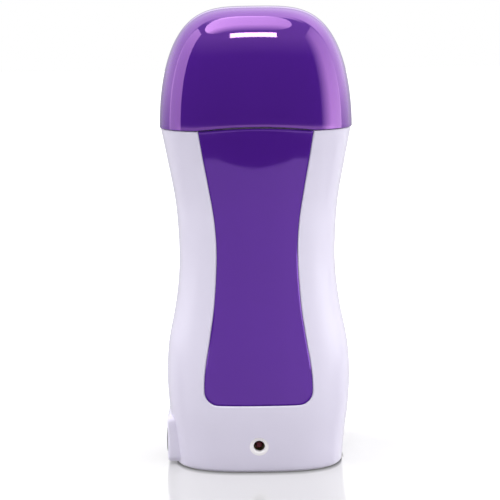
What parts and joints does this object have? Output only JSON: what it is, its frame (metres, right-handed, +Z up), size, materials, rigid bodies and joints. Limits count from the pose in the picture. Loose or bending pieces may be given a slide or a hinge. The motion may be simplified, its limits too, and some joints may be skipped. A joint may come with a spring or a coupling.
{
  "type": "wax warmer",
  "caption": "Standing roll-on wax warmer: waisted white case with a purple front panel, a pull-off cap over the heated cartridge bay, an indicator light and a side mains inlet.",
  "frame": {"origin": "centre of the underside, on the surface it stands on, at the foot's centre", "axes": "+Z up towards the cap; the window and the indicator light face -Y; the mains inlet faces -X"},
  "size_m": [0.078, 0.0549, 0.1882],
  "materials": {
    "purple_lid": "polished, glossy",
    "white_shell": "satin moulded",
    "purple_window": "smooth, semi-gloss",
    "natural_plastic": "satin moulded",
    "aluminium": "machined",
    "amber_film": "smooth film",
    "brass": "plated",
    "ceramic": "fired ceramic",
    "steel": "zinc plated",
    "black_plastic": "satin moulded",
    "fuse_case": "smooth",
    "board_laminate": "paper laminate",
    "red_lens": "clear red lens",
    "resistor_coat": "lacquered",
    "brown_insulation": "smooth",
    "blue_insulation": "smooth",
    "red_insulation": "smooth"
  },
  "bodies": {
    "case": {"front_shell": "white_shell", "rear_shell": "white_shell", "front_window": "purple_window", "top_collar": "natural_plastic", "cartridge_chamber": "natural_plastic", "heat_plate": "aluminium", "heater_film_front": "amber_film", "heater_film_rear": "amber_film", "heater_electrode_front": "brass", "heater_electrode_rear": "brass", "ptc_chip_lower": "ceramic", "ptc_chip_upper": "ceramic", "clamp_plate": "steel", "clamp_screw_lower": "steel", "clamp_screw_upper": "steel", "thermostat": "black_plastic", "thermal_fuse": "fuse_case", "led_board": "board_laminate", "board_screw_left": "steel", "board_screw_right": "steel", "indicator_led": "red_lens", "led_resistor": "resistor_coat", "led_diode": "black_plastic", "inlet_socket": "black_plastic", "inlet_pin_front": "brass", "inlet_pin_rear": "brass", "case_screw_lower_left": "steel", "case_screw_lower_right": "steel", "case_screw_upper_left": "steel", "case_screw_upper_right": "steel", "live_wire": "brown_insulation", "neutral_wire": "blue_insulation", "thermostat_wire": "brown_insulation", "fuse_wire": "blue_insulation", "led_wire_live": "red_insulation", "led_wire_neutral": "blue_insulation"},
    "cap": {"lid": "purple_lid"}
  },
  "joints": [
    {"name": "lid_lift", "type": "slide", "parent": "case", "child": "cap", "axis": [0, 0, 1], "range_m": [0, 0.06]}
  ]
}
